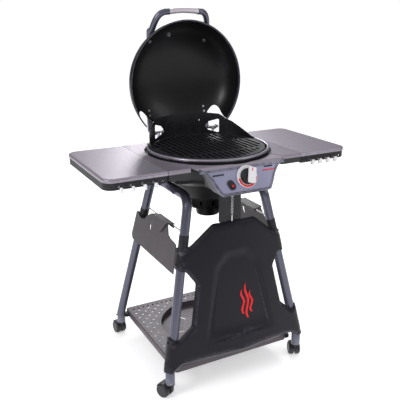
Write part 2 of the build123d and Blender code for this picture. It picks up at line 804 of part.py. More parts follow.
# ---- knob with its bezel and gas valve
with BuildPart() as bezel:
    with BuildSketch(face_plane(knob_x, knob_z, 0.2)):
        Circle(41)
        Circle(27, mode=Mode.SUBTRACT)
    extrude(amount=5)
save(bezel.part, "bezel")

with BuildPart() as gas_valve:
    with BuildSketch(face_plane(knob_x, knob_z, -3)):
        Circle(12)
    extrude(amount=-16)
    with BuildSketch(face_plane(knob_x, knob_z, -19)):
        Rectangle(20, 26)
    extrude(amount=-10)
    with BuildSketch(face_plane(knob_x, knob_z, -3)):
        Circle(4)
    extrude(amount=14)
    with BuildSketch(level(797)):        # pipe down to the burner's feed tube
        with Locations((6, -248)):
            Circle(5)
    extrude(amount=42)
    with BuildSketch(facing(-230.1)):
        with Locations((0, 800)):
            Circle(8.8)
    extrude(amount=19.2)
save(gas_valve.part, "gas_valve")

with BuildPart() as knob:
    with BuildSketch(face_plane(knob_x, knob_z, 6.2)):
        Circle(29.5)
    extrude(amount=12, taper=4)
    with BuildSketch(face_plane(knob_x, knob_z, 18.2)):
        Circle(28.4)
    extrude(amount=4, taper=40)
    with BuildSketch(face_plane(knob_x, knob_z, 2)):
        Circle(14)
    extrude(amount=4.4)
    with BuildSketch(face_plane(knob_x, knob_z, 2)):
        Circle(4.1)
    extrude(amount=10, mode=Mode.SUBTRACT)
save(knob.part, "knob")

# broad light grip bar across the knob
turn = -15
with BuildPart() as knob_bar:
    with BuildSketch(face_plane(knob_x, knob_z, 22.3)):
        with Locations(Rot(0, 0, turn) * Pos(8, 4)):
            RectangleRounded(30, 58, 7)
    extrude(amount=6.5, taper=6)
save(knob_bar.part, "knob_bar")

# ---- push-button igniter
with BuildPart() as igniter_housing:
    with BuildSketch(face_plane(igniter_x, igniter_z, 0.2)):
        SlotOverall(38, 25, rotation=-62)
    extrude(amount=4)
    with BuildSketch(face_plane(igniter_x, igniter_z, 0.2)):
        with Locations((2, -4)):
            Circle(7.1)
    extrude(amount=4, mode=Mode.SUBTRACT)
    with BuildSketch(face_plane(igniter_x, igniter_z, -2.8)):
        Circle(10)
        with Locations((2, -4)):
            Circle(3.1, mode=Mode.SUBTRACT)
    extrude(amount=-14)
save(igniter_housing.part, "igniter_housing")
with BuildPart() as igniter_button:
    with BuildSketch(face_plane(igniter_x, igniter_z, 2.2)):
        with Locations((2, -4)):
            Circle(6.9)
    extrude(amount=5)
    with BuildSketch(face_plane(igniter_x, igniter_z, 2.2)):
        with Locations((2, -4)):
            Circle(2.9)
    extrude(amount=-12)
save(igniter_button.part, "igniter_button")

# the console's face and the housing behind it are pierced for the valve and the igniter
face_holes = [face_hole(knob_x, knob_z, 13), face_hole(igniter_x, igniter_z, 10.4),
              face_hole(igniter_x + 2, igniter_z - 4, 7.4)]
with BuildPart() as console_shell:
    add(console.part)
    for hole in face_holes:
        add(hole, mode=Mode.SUBTRACT)
save(console_shell.part, "console")
with BuildPart() as housing_shell:
    add(console_housing.part)
    for hole in face_holes:
        add(hole, mode=Mode.SUBTRACT)
save(housing_shell.part, "console_housing")

# ================================================================ lid
lid_wall = 2.0
dome_out = [(247, 10), (240, 70), (205, 150), (0, 150)]
dome_in = [(245, 10.3), (238, 69), (203.5, 148), (0, 148)]


def at_lid(points):
    return [(r, lid_rim_z + h) for r, h in points]


with BuildPart() as lid_room:      # everything under the dome's outer skin
    with BuildSketch(half_plane):
        with BuildLine():
            Polyline(*at_lid([(0, 0), (lid_rim_r, 0), (lid_rim_r, 7), (247, 10)]))
            Bezier(*at_lid(dome_out))
            Line(at_lid([(0, 150)])[0], at_lid([(0, 0)])[0])
        make_face()
    revolve(axis=Axis((0, bowl_y, 0), (0, 0, 1)))

with BuildPart() as lid_shell:
    with BuildSketch(half_plane):
        with BuildLine():
            Polyline(*at_lid([(lid_rim_r - lid_wall, 0), (lid_rim_r, 0), (lid_rim_r, 7), (247, 10)]))
            Bezier(*at_lid(dome_out))
            Line(*at_lid([(0, 150), (0, 148)]))
            Bezier(*at_lid(list(reversed(dome_in))))
            Polyline(*at_lid([(245, 10.3), (lid_rim_r - lid_wall, 6), (lid_rim_r - lid_wall, 0)]))
        make_face()
    revolve(axis=Axis((0, bowl_y, 0), (0, 0, 1)))
with BuildPart() as lid_gap:       # the gap at the back that clears the guard
    with BuildSketch(facing(300)):
        with Locations((0, lid_rim_z - 60)):
            RectangleRounded(2 * lid_gap_x, 2 * (lid_gap_h + 60), 34, align=(Align.CENTER, Align.CENTER))
        with Locations((0, lid_rim_z - 60)):
            Rectangle(2 * lid_gap_x, 2 * 60 + 40)
    extrude(amount=300)


def dome_plane(t, x, side):
    """Plane on the closed dome's outer skin at X = x; side is -1 in front, 1 behind."""
    u = 1 - t
    (r0, h0), (r1, h1), (r2, h2), (r3, h3) = dome_out
    r = r0 * u**3 + 3 * r1 * t * u**2 + 3 * r2 * t**2 * u + r3 * t**3
    h = h0 * u**3 + 3 * h1 * t * u**2 + 3 * h2 * t**2 * u + h3 * t**3
    slope_r = (r1 - r0) * u**2 + 2 * (r2 - r1) * t * u + (r3 - r2) * t**2
    slope_h = (h1 - h0) * u**2 + 2 * (h2 - h1) * t * u + (h3 - h2) * t**2
    outward = Vector(x, side * sqrt(r**2 - x**2), 0) / r
    return Plane(origin=outward * r + Vector(0, bowl_y, lid_rim_z + h),
                 x_dir=outward.cross(Vector(0, 0, 1)),
                 z_dir=outward * slope_h - Vector(0, 0, slope_r))


strap_bolts = [dome_plane(t, side * 131, 1) for side in (-1, 1) for t in (0.535, 0.59)]
handle_bolts = [dome_plane(0.455, side * 124, -1) for side in (-1, 1)]
gauge_plane = dome_plane(0.5, -38, -1)


def lid_holes(r=2.7):
    """Cutters for every bolt that goes through the lid."""
    with BuildPart(mode=Mode.PRIVATE) as cutters:
        for plane in strap_bolts + handle_bolts:
            with BuildSketch(plane.offset(-9)):
                Circle(r)
            extrude(amount=21)
    return cutters.part


with BuildPart() as lid_body:
    add(lid_shell.part)
    add(lid_gap.part, mode=Mode.SUBTRACT)
    add(lid_holes(), mode=Mode.SUBTRACT)
    with BuildSketch(gauge_plane.offset(-10)):
        Circle(5.2)
    extrude(amount=20, mode=Mode.SUBTRACT)
save(opened(lid_body.part), "lid_shell")

with BuildPart() as lid_band:      # stiffening band inside the rim
    with BuildSketch(half_plane):
        Polygon(*at_lid([(244.4, 0.2), (247.4, 0.2), (247.4, 6), (245.0, 9.6), (244.4, 9.6)]), align=None)
    revolve(axis=Axis((0, bowl_y, 0), (0, 0, 1)))
save(opened(lid_band.part - lid_gap.part), "lid_band")

# ---- lid handle: bowed grip between two curved arms
grip_y, grip_z = -280.0, 951.5
with BuildPart() as handle_grip:
    with BuildLine() as grip_line:
        ThreePointArc((-63, bowl_y + grip_y, grip_z), (0, bowl_y + grip_y - 5, grip_z),
                      (63, bowl_y + grip_y, grip_z))
    with BuildSketch(Plane(origin=(-63, bowl_y + grip_y, grip_z), z_dir=grip_line.line % 0)):
        Circle(11.5)
    sweep(path=grip_line.wires()[0])
save(opened(handle_grip.part), "handle_grip")

arm_points = [(63.2, grip_y, grip_z), (88, grip_y + 3, grip_z + 3), (112, -252, 968),
              (126, -205, 992), (124, -150, 1010)]
with BuildPart() as right_arm:
    with BuildLine() as arm_line:
        Spline(*[(x, bowl_y + y, z) for x, y, z in arm_points], tangents=[(1, 0, 0), (-0.1, 1, 0.2)])
    with BuildSketch(Plane(origin=(63.2, bowl_y + grip_y, grip_z), z_dir=(1, 0, 0))):
        Ellipse(11, 12.5)
    sweep(path=arm_line.wires()[0])
    add(lid_room.part, mode=Mode.SUBTRACT)
    add(handle_grip.part, mode=Mode.SUBTRACT)
right_arm_solid = right_arm.part.solids().sort_by(SortBy.VOLUME)[-1]
with BuildPart() as handle_arms:
    add(right_arm_solid)
    mirror(right_arm_solid, about=Plane.YZ)
    add(lid_holes(), mode=Mode.SUBTRACT)
save(opened(handle_arms.part), "handle_arms")

# ---- straps from the hinge pins over the top of the gap onto the dome
with BuildPart() as strap_skin:
    with BuildSketch(half_plane):
        with BuildLine():
            Line(*at_lid([(0, 90), (251, 10)]))
            Bezier(*at_lid([(251, 10), (244, 71), (208, 154), (0, 154)]))
            Line(*at_lid([(0, 154), (0, 90)]))
        make_face()
    revolve(axis=Axis((0, bowl_y, 0), (0, 0, 1)))
with BuildPart() as lid_straps:
    with BuildSketch(level(1012)):
        for side in (-1, 1):
            with Locations((side * 131, 135)):
                Rectangle(26, 54)
    extrude(amount=32)
    add(strap_skin.part, mode=Mode.INTERSECT)
    for side in (-1, 1):
        with BuildSketch(across(side * 131 - 13)):
            Polygon((192, 944), (204, 944), (204, 1008), (199, 1015), (150, 1021), (150, 1008),
                    (195, 1008), (199.5, 1003), (199.5, 951), align=None)
            with Locations((hinge_y, hinge_z)):
                Circle(7.5)
        extrude(amount=26)
        with BuildSketch(across(side * 131 - 14)):
            with Locations((hinge_y, hinge_z)):
                Circle(4.06)
        extrude(amount=28, mode=Mode.SUBTRACT)
    add(lid_room.part, mode=Mode.SUBTRACT)
    add(lid_holes(), mode=Mode.SUBTRACT)
save(opened(lid_straps.part), "lid_straps")

with BuildPart() as lid_bolts:
    for plane in strap_bolts:
        with BuildSketch(plane.offset(-8)):
            Circle(2.6)
        extrude(amount=14)
        with BuildSketch(plane.offset(4.9)):
            Circle(6)
        extrude(amount=3.2, taper=25)
        with BuildSketch(plane.offset(-2.3)):
            RegularPolygon(5, 6)
        extrude(amount=-4)
    for plane in handle_bolts:
        with BuildSketch(plane.offset(-3)):
            Circle(2.6)
        extrude(amount=13)
        with BuildSketch(plane.offset(-2.3)):
            Circle(8)
        extrude(amount=-1.4)
        with BuildSketch(plane.offset(-3.7)):
            Circle(5.5)
        extrude(amount=-3.4, taper=25)
save(opened(lid_bolts.part), "lid_bolts")

with BuildPart() as lid_gauge:
    with BuildSketch(gauge_plane.offset(-3)):
        Circle(29)
    extrude(amount=14)
    add(lid_room.part, mode=Mode.SUBTRACT)
    with BuildSketch(gauge_plane.offset(11)):
        Circle(29)
        Circle(26, mode=Mode.SUBTRACT)
    extrude(amount=3)
    with BuildSketch(gauge_plane.offset(2)):
        Circle(5)
    extrude(amount=-15)
    with BuildSketch(gauge_plane.offset(-2.3)):
        RegularPolygon(9, 6)
    extrude(amount=-4)
save(opened(lid_gauge.part), "lid_gauge")

# ================================================================ shelf hinges
ear_gap = 0.7
with BuildPart() as shelf_hinges:
    for side in (-1, 1):
        for y in knuckle_y:
            for ear in (y - knuckle_long - ear_gap - 3, y + ear_gap):
                with BuildSketch(facing(ear + 3)):
                    Polygon(*[(side * x, z) for x, z in ((265, 866), (279.5, 866), (285.5, 860.5),
                                                         (285.5, 855), (277, 853), (265, 863))],
                            align=None)
                    with Locations((side * fold_x, fold_z)):
                        Circle(2.55, mode=Mode.SUBTRACT)
                extrude(amount=3)
            with BuildSketch(level(863.4)):
                with Locations((side * 272, y - knuckle_long / 2)):
                    Rectangle(14, knuckle_long + 2 * ear_gap + 5)
            extrude(amount=2.6)
save(shelf_hinges.part, "shelf_hinges")

with BuildPart() as shelf_pins:
    for side in (-1, 1):
        for y in knuckle_y:
            with BuildSketch(facing(y + ear_gap + 4.5)):
                with Locations((side * fold_x, fold_z)):
                    Circle(2.5)
            extrude(amount=knuckle_long + 2 * ear_gap + 9)
            with BuildSketch(facing(y + ear_gap + 6)):
                with Locations((side * fold_x, fold_z)):
                    Circle(4)
            extrude(amount=2.5)
save(shelf_pins.part, "shelf_pins")

# ================================================================ ignition electrode
with BuildPart() as electrode:
    with BuildSketch(facing(-112)):
        with Locations((24, 813)):
            Circle(3.2)
    extrude(amount=50)
    with BuildSketch(facing(-104)):
        with Locations((24, 813)):
            Circle(1.1)
    extrude(amount=8)
    with BuildSketch(facing(-140)):
        with Locations((15, 806)):
            Rectangle(30, 22)
        with Locations((0, 800)):
            Circle(8.8, mode=Mode.SUBTRACT)
        with Locations((-8, 800)):
            Rectangle(16, 60, mode=Mode.SUBTRACT)
    extrude(amount=3)
save(electrode.part, "igniter_electrode")

# ================================================================ match holder on its chain
chain_x, chain_y, chain_z = -42.0, -262.0, 786.0
with BuildPart() as match_chain:
    with BuildSketch(across(chain_x - 0.6)):
        with Locations((chain_y, 788.5)):
            Rectangle(9, 11)
            with Locations((0, -1.6)):
                Circle(1.9, mode=Mode.SUBTRACT)
    extrude(amount=1.2)
    for i in range(12):
        turn = 0 if i % 2 else 90
        link = Plane(origin=(chain_x, bowl_y + chain_y, chain_z - 2.7 - 6 * i),
                     x_dir=(0, 0, 1), z_dir=(cos(radians(turn)), sin(radians(turn)), 0))
        with Locations(link):
            Torus(4, 0.9)
    with BuildSketch(level(chain_z - 2.7 - 72 - 22)):
        with Locations((chain_x, chain_y)):
            Circle(2)
            Circle(1.2, mode=Mode.SUBTRACT)
    extrude(amount=22)
save(match_chain.part, "match_chain")
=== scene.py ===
# Looks of the round gas grill: materials, printed marks, screws, light and camera.
# Metres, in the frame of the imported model. +Y is the back, the console faces -Y.
import json
from math import asin, cos, pi, radians, sin

import bmesh
import bpy
from mathutils import Matrix, Vector
from mathutils.geometry import delaunay_2d_cdt


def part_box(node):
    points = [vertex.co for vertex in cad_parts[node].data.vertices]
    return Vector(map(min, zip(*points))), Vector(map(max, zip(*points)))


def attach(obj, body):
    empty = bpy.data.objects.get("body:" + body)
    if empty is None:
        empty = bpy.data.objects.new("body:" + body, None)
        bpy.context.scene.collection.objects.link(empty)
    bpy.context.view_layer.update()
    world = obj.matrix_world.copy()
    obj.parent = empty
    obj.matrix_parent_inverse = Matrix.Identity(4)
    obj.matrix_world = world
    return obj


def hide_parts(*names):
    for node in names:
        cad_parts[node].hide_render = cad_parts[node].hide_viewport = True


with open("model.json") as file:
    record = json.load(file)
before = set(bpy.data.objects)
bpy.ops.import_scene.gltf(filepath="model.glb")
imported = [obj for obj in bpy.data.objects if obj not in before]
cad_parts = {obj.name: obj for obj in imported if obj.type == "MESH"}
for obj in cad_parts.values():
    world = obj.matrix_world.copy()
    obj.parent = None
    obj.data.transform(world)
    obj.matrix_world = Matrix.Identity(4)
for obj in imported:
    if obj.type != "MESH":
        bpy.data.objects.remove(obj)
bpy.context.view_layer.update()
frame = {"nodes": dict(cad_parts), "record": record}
nodes = frame["nodes"]
scene = bpy.context.scene

BOWL_Y = sum(corner[1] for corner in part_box("bowl")) / 2
FACE_OUT = Vector((0, -0.9331, 0.3596))       # outward normal of the console's sloping face
FACE_UP = Vector((0, 0.3596, 0.9331))


def face_matrix(x, z, lift):
    """Place on the console's sloping face at (x, z), lifted off it."""
    top, low = Vector((0, -0.260, 0.897)), Vector((0, -0.297, 0.801))
    spot = top.lerp(low, (z - top.z) / (low.z - top.z))
    origin = Vector((x, BOWL_Y + spot.y, z)) + FACE_OUT * lift
    return Matrix.Translation(origin) @ Matrix((
        (1, 0, 0, 0), (0, FACE_UP.y, FACE_OUT.y, 0), (0, FACE_UP.z, FACE_OUT.z, 0), (0, 0, 0, 1)))


# ---------------------------------------------------------------- materials
GRAIN_DEPTH = 0.0004
SHELF_TONE = (0.275, 0.245, 0.290)
CONSOLE_SIDE_TONE = (0.035, 0.035, 0.05)
SKIRT_TONE = (0.009, 0.009, 0.011)
DECK_SPLIT = 0.886          # the decks are painted above this height and black below it
CONSOLE_TOP = 0.8925        # the console has the shelf tone above this height
CONSOLE_SKIN = 0.0035       # its face paint reaches this far behind the face


class Graph:
    """Small helper that adds shader nodes and links to one material."""

    def __init__(self, name):
        self.material = bpy.data.materials.new(name)
        self.material.use_nodes = True
        self.tree = self.material.node_tree
        self.shader = self.tree.nodes["Principled BSDF"]
        self.place = self.add("ShaderNodeTexCoord").outputs["Object"]

    def add(self, kind, **values):
        node = self.tree.nodes.new(kind)
        for key, value in values.items():
            if hasattr(node, key):
                setattr(node, key, value)
            else:
                node.inputs[key.replace("_", " ")].default_value = value
        return node

    def link(self, source, target):
        self.tree.links.new(source, target)

    def noise(self, scale, detail=3.0, stretch=(1, 1, 1)):
        mapping = self.add("ShaderNodeMapping")
        mapping.inputs["Scale"].default_value = stretch
        self.link(self.place, mapping.inputs["Vector"])
        node = self.add("ShaderNodeTexNoise", Scale=scale, Detail=detail)
        self.link(mapping.outputs["Vector"], node.inputs["Vector"])
        return node.outputs["Fac"]

    def ramp(self, factor, low, high, at=(0.35, 0.65)):
        node = self.add("ShaderNodeValToRGB")
        node.color_ramp.elements[0].position = at[0]
        node.color_ramp.elements[1].position = at[1]
        node.color_ramp.elements[0].color = (*low, 1)
        node.color_ramp.elements[1].color = (*high, 1)
        self.link(factor, node.inputs["Fac"])
        return node.outputs["Color"]

    def mix(self, factor, first, second):
        node = self.add("ShaderNodeMix", data_type="RGBA")
        self.link(factor, node.inputs[0])
        self.link(first, node.inputs[6])
        self.link(second, node.inputs[7])
        return node.outputs[2]

    def bump(self, height, strength, distance):
        node = self.add("ShaderNodeBump", Strength=strength, Distance=distance)
        self.link(height, node.inputs["Height"])
        self.link(node.outputs["Normal"], self.shader.inputs["Normal"])


def shade(colour, factor):
    return tuple(min(1, c * factor) for c in colour)


def coated(name, colour, rough, metal=0.0, grain=900, bump=0.15, cloud=9, vary=0.12,
           edge=None, stretch=(1, 1, 1), coat=0.0, rough_vary=0.05, gleam=0.5):
    """Graph of a coated, moulded or cast surface: clouded colour, fine grain, lighter worn edges."""
    g = Graph(name)
    g.shader.inputs["Metallic"].default_value = metal
    g.shader.inputs["Coat Weight"].default_value = coat
    g.shader.inputs["Specular IOR Level"].default_value = gleam
    g.shader.inputs["Coat Roughness"].default_value = 0.12
    fine = g.noise(grain, 2.0, stretch)
    tone = g.ramp(g.noise(cloud, 4.0), shade(colour, 1 - vary), shade(colour, 1 + vary))
    speck = g.ramp(fine, shade(colour, 0.8), shade(colour, 1.25), (0.3, 0.72))
    blend = g.add("ShaderNodeMix", data_type="RGBA")
    blend.inputs[0].default_value = 0.15
    g.link(tone, blend.inputs[6])
    g.link(speck, blend.inputs[7])
    colour_out = blend.outputs[2]
    if edge:
        geometry = g.add("ShaderNodeNewGeometry")
        worn = g.ramp(geometry.outputs["Pointiness"], (0, 0, 0), (1, 1, 1), (0.53, 0.62))
        patch = g.ramp(g.noise(70, 3.0), (0.15, 0.15, 0.15), (0.8, 0.8, 0.8))
        both = g.add("ShaderNodeMath", operation="MULTIPLY")
        g.link(worn, both.inputs[0])
        g.link(patch, both.inputs[1])
        rub = g.add("ShaderNodeRGB")
        rub.outputs[0].default_value = (*edge, 1)
        colour_out = g.mix(both.outputs[0], colour_out, rub.outputs[0])
    g.link(colour_out, g.shader.inputs["Base Color"])
    gloss = g.add("ShaderNodeMapRange")
    gloss.inputs["To Min"].default_value = max(0.02, rough - rough_vary)
    gloss.inputs["To Max"].default_value = rough + rough_vary
    g.link(g.noise(cloud * 3, 5.0), gloss.inputs["Value"])
    g.link(gloss.outputs["Result"], g.shader.inputs["Roughness"])
    g.bump(fine, bump, GRAIN_DEPTH)
    return g


def surface(*values, **more):
    """Material with a coated surface."""
    return coated(*values, **more).material


LOOKS = {
    "frame_paint": surface("frame_paint", (0.115, 0.115, 0.155), 0.30, 0.65, 1500, 0.05, 5, 0.05,
                           (0.26, 0.26, 0.33)),
    "shelf_paint": surface("shelf_paint", SHELF_TONE, 0.38, 0.55, 1900, 0.04, 3, 0.04,
                           (0.42, 0.41, 0.47)),
    "console_paint": surface("console_paint", (0.27, 0.27, 0.37), 0.38, 0.45, 1900, 0.04, 4, 0.04,
                             (0.45, 0.45, 0.55)),
    "black_enamel": surface("black_enamel", (0.0065, 0.0065, 0.0075), 0.36, 0.0, 1300, 0.12, 8, 0.2,
                            (0.02, 0.02, 0.025), coat=0.05, gleam=0.28),
    "cast_grate": surface("cast_grate", (0.007, 0.007, 0.009), 0.5, 0.0, 800, 0.35, 20, 0.25,
                          (0.03, 0.03, 0.036), gleam=0.28),
    "tray_paint": surface("tray_paint", (0.085, 0.072, 0.082), 0.45, 0.15, 1500, 0.08, 6, 0.08,
                          (0.16, 0.15, 0.17), gleam=0.35),
    "panel_plastic": surface("panel_plastic", (0.0095, 0.0085, 0.0135), 0.38, 0.0, 2100, 0.08, 5, 0.08,
                             (0.045, 0.043, 0.06), gleam=0.22),
    "black_plastic": surface("black_plastic", (0.009, 0.009, 0.011), 0.48, 0.0, 1900, 0.10, 7, 0.10,
                             (0.03, 0.03, 0.036), gleam=0.26),
    "side_plastic": surface("side_plastic", (0.060, 0.050, 0.056), 0.5, 0.0, 1900, 0.10, 6, 0.08,
                            (0.07, 0.065, 0.075), gleam=0.3),
    "ring_steel": surface("ring_steel", (0.30, 0.28, 0.33), 0.32, 0.8, 500, 0.05, 12, 0.06,
                          (0.5, 0.5, 0.54), (1, 1, 14)),
    "bright_steel": surface("bright_steel", (0.46, 0.46, 0.48), 0.3, 0.95, 600, 0.08, 30, 0.08,
                            (0.7, 0.7, 0.72), (1, 6, 1)),
    "grip_metal": surface("grip_metal", (0.60, 0.56, 0.60), 0.34, 0.7, 700, 0.06, 14, 0.04,
                          (0.8, 0.8, 0.82), (12, 1, 1)),
    "white_plastic": surface("white_plastic", (0.78, 0.77, 0.79), 0.25, 0.0, 2200, 0.03, 12, 0.02),
    "red_plastic": surface("red_plastic", (0.80, 0.012, 0.014), 0.35, 0.0, 1900, 0.05, 12, 0.05,
                           gleam=0.3),
    "caster_plastic": surface("caster_plastic", (0.024, 0.024, 0.028), 0.42, 0.0, 1500, 0.12, 12, 0.12,
                              (0.06, 0.06, 0.07), gleam=0.35),
    "ceramic": surface("ceramic", (0.75, 0.72, 0.64), 0.2, 0.0, 900, 0.05, 20, 0.04),
    "brass": surface("brass", (0.55, 0.38, 0.14), 0.28, 0.9, 700, 0.1, 20, 0.1, (0.8, 0.65, 0.4)),
}


def dress(obj, look):
    if not obj.material_slots:
        obj.data.materials.append(LOOKS[look])
    for entry in obj.material_slots:
        entry.material = LOOKS[look]


def two_tone(name, upper, lower, split):
    """Painted top over a black skirt, parted at one height."""
    g = Graph(name)
    height = g.add("ShaderNodeSeparateXYZ")
    g.link(g.place, height.inputs[0])
    above = g.add("ShaderNodeMath", operation="GREATER_THAN")
    above.inputs[1].default_value = split
    g.link(height.outputs["Z"], above.inputs[0])
    fine = g.noise(1700, 2.0)
    top = g.ramp(g.noise(5, 4.0), shade(upper, 0.93), shade(upper, 1.07))
    skirt = g.ramp(fine, shade(lower, 0.8), shade(lower, 1.2))
    g.link(g.mix(above.outputs[0], skirt, top), g.shader.inputs["Base Color"])
    metal = g.add("ShaderNodeMath", operation="MULTIPLY")
    metal.inputs[1].default_value = 0.55
    g.link(above.outputs[0], metal.inputs[0])
    g.link(metal.outputs[0], g.shader.inputs["Metallic"])
    gloss = g.add("ShaderNodeMapRange")
    gloss.inputs["To Min"].default_value = 0.32
    gloss.inputs["To Max"].default_value = 0.42
    g.link(g.noise(18, 5.0), gloss.inputs["Value"])
    g.link(gloss.outputs["Result"], g.shader.inputs["Roughness"])
    g.bump(fine, 0.1, GRAIN_DEPTH)
    return g.material


def console_look():
    """Lavender face, mauve top shelf, dark sides behind the face's edge."""
    g = coated("console_shell", (0.27, 0.27, 0.39), 0.38, 0.35, 1900, 0.03, 3, 0.015, rough_vary=0.01)
    off_face = g.add("ShaderNodeVectorMath", operation="DOT_PRODUCT")
    off_face.inputs[1].default_value = FACE_OUT
    g.link(g.place, off_face.inputs[0])
    behind = g.add("ShaderNodeMath", operation="LESS_THAN")
    behind.inputs[1].default_value = face_matrix(0, 0.85, 0).translation.dot(FACE_OUT) - CONSOLE_SKIN
    g.link(off_face.outputs["Value"], behind.inputs[0])
    height = g.add("ShaderNodeSeparateXYZ")
    g.link(g.place, height.inputs[0])
    on_top = g.add("ShaderNodeMath", operation="GREATER_THAN")
    on_top.inputs[1].default_value = CONSOLE_TOP
    g.link(height.outputs["Z"], on_top.inputs[0])
    colour = g.shader.inputs["Base Color"].links[0].from_socket
    for factor, tint in ((behind, CONSOLE_SIDE_TONE), (on_top, SHELF_TONE)):
        mix = g.add("ShaderNodeMix", data_type="RGBA")
        mix.inputs[7].default_value = (*tint, 1)
        g.link(factor.outputs[0], mix.inputs[0])
        g.link(colour, mix.inputs[6])
        colour = mix.outputs[2]
    g.link(colour, g.shader.inputs["Base Color"])
    return g.material


LOOKS["deck_paint"] = two_tone("deck_paint", SHELF_TONE, SKIRT_TONE, DECK_SPLIT)

slot_of = {part["node"]: part["material_slot"] for part in frame["record"]["subparts"]}
for node_name, node in nodes.items():
    dress(node, slot_of[node_name])
LOOKS["console_shell"] = console_look()
LOOKS["border_paint"] = surface("border_paint", (0.085, 0.085, 0.12), 0.34, 0.5, 1500, 0.05, 5, 0.05,
                                (0.3, 0.3, 0.36))
LOOKS["rim_paint"] = surface("rim_paint", (0.045, 0.045, 0.06), 0.35, 0.4, 1500, 0.05, 5, 0.05,
                             (0.2, 0.2, 0.25))
OVERRIDES = {"leg_sleeves": "black_plastic", "left_deck": "deck_paint", "right_deck": "deck_paint",
             "console": "console_shell", "lid_band": "rim_paint", "igniter_button": "black_plastic"}
for node_name, look in OVERRIDES.items():
    dress(nodes[node_name], look)

# soft edges that catch the light on pressed and moulded pieces
ROUNDED = {
    "left_deck": 0.0012, "right_deck": 0.0012, "left_shelf_frame": 0.0008,
    "right_shelf_frame": 0.0008, "console": 0.0014, "left_side_panel": 0.0010, "right_side_panel": 0.0010,
    "hinge_brackets": 0.0007, "knob_bar": 0.0012, "knob": 0.0010, "bezel": 0.0012, "bottom_tray": 0.0006,
    "rear_guard": 0.0004, "panel_symbol": 0.0004, "igniter_housing": 0.0008, "lid_straps": 0.0008,
}
for node_name, width in ROUNDED.items():
    bevel = nodes[node_name].modifiers.new("soft_edges", "BEVEL")
    bevel.width = width
    bevel.segments = 2
    bevel.limit_method = "ANGLE"
    bevel.angle_limit = radians(38)
    bevel.harden_normals = False


# ---------------------------------------------------------------- pieces
def piece(name, mesh_builder, body, look):
    """New mesh object on a body, smooth shaded by angle."""
    mesh = bpy.data.meshes.new(name)
    bm = bmesh.new()
    mesh_builder(bm)
    bmesh.ops.recalc_face_normals(bm, faces=bm.faces)
    bm.to_mesh(mesh)
    bm.free()
    obj = bpy.data.objects.new(name, mesh)
    scene.collection.objects.link(obj)
    for polygon in mesh.polygons:
        polygon.use_smooth = True
    obj.data.set_sharp_from_angle(angle=radians(35))
    obj.data.materials.append(LOOKS[look])
    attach(obj, body)
    return obj


def prism(bm, outline, thick, place):
    """Raised flat shape from an outline in the place's own X and Y."""
    low = [bm.verts.new(place @ Vector((x, y, 0))) for x, y in outline]
    top = [bm.verts.new(place @ Vector((x, y, thick))) for x, y in outline]
    bm.faces.new(low[::-1])
    bm.faces.new(top)
    count = len(outline)
    for i in range(count):
        j = (i + 1) % count
        bm.faces.new((low[i], low[j], top[j], top[i]))


def rounded_bar(long, wide, corner, steps=5):
    points = []
    for cx, cy, start in ((1, 1, 0), (-1, 1, 90), (-1, -1, 180), (1, -1, 270)):
        for i in range(steps + 1):
            turn = radians(start + 90 * i / steps)
            points.append((cx * (long / 2 - corner) + corner * cos(turn),
                           cy * (wide / 2 - corner) + corner * sin(turn)))
    return points


def arc_band(r0, r1, start, end, steps=40):
    turns = [radians(start + (end - start) * i / steps) for i in range(steps + 1)]
    return [(r1 * cos(t), r1 * sin(t)) for t in turns] + [(r0 * cos(t), r0 * sin(t)) for t in reversed(turns)]


KNOB_X, KNOB_Z = 0.008, 0.855
BEZEL_LIFT, KNOB_LIFT, BUTTON_LIFT, PRINT_LIFT = 0.0053, 0.0288, 0.0071, 0.0002
TICKS, TICK_START, TICK_SWEEP, TICK_RING = 9, 196, 148, 0.0302
LENS_R = 0.0042
piece("heat_scale", lambda bm: prism(bm, arc_band(0.0322, 0.0390, 186, 354), 0.0005,
                                     face_matrix(KNOB_X, KNOB_Z, BEZEL_LIFT)), "cart", "red_plastic")
for index in range(TICKS):
    angle = TICK_START + index * TICK_SWEEP / (TICKS - 1)
    tick = face_matrix(KNOB_X, KNOB_Z, BEZEL_LIFT) @ Matrix.Rotation(radians(angle), 4, "Z") @ \
        Matrix.Translation((TICK_RING, 0, 0))
    piece(f"scale_tick_{index}", lambda bm, tick=tick: prism(bm, rounded_bar(0.0024, 0.0007, 0.0003), 0.0004,
                                                              tick), "cart", "black_plastic")
knob_top = face_matrix(KNOB_X, KNOB_Z, KNOB_LIFT) @ Matrix.Rotation(radians(-15), 4, "Z")
piece("knob_pointer", lambda bm: prism(bm, rounded_bar(0.0035, 0.011, 0.0015), 0.0005,
                                       knob_top @ Matrix.Translation((0.006, 0.024, 0))),
      "knob", "red_plastic")
lens_outline = [(LENS_R * cos(radians(15 * i)), LENS_R * sin(radians(15 * i))) for i in range(24)]
piece("igniter_lens", lambda bm: prism(bm, lens_outline, 0.0006, face_matrix(-0.058, 0.8303, BUTTON_LIFT)),
      "igniter_button", "red_plastic")
# plain bars where names could be printed
for name, bar, x, z, look in (("maker_bar", (0.046, 0.0048, 0.002), -0.106, 0.872, "black_plastic"),
                              ("model_bar", (0.036, 0.0045, 0.002), 0.106, 0.880, "black_plastic"),
                              ("model_bar_low", (0.050, 0.0035, 0.0015), 0.104, 0.868, "red_plastic")):
    piece(name, lambda bm, bar=bar, x=x, z=z: prism(bm, rounded_bar(*bar), 0.0005,
                                                    face_matrix(x, z, PRINT_LIFT)), "cart", look)


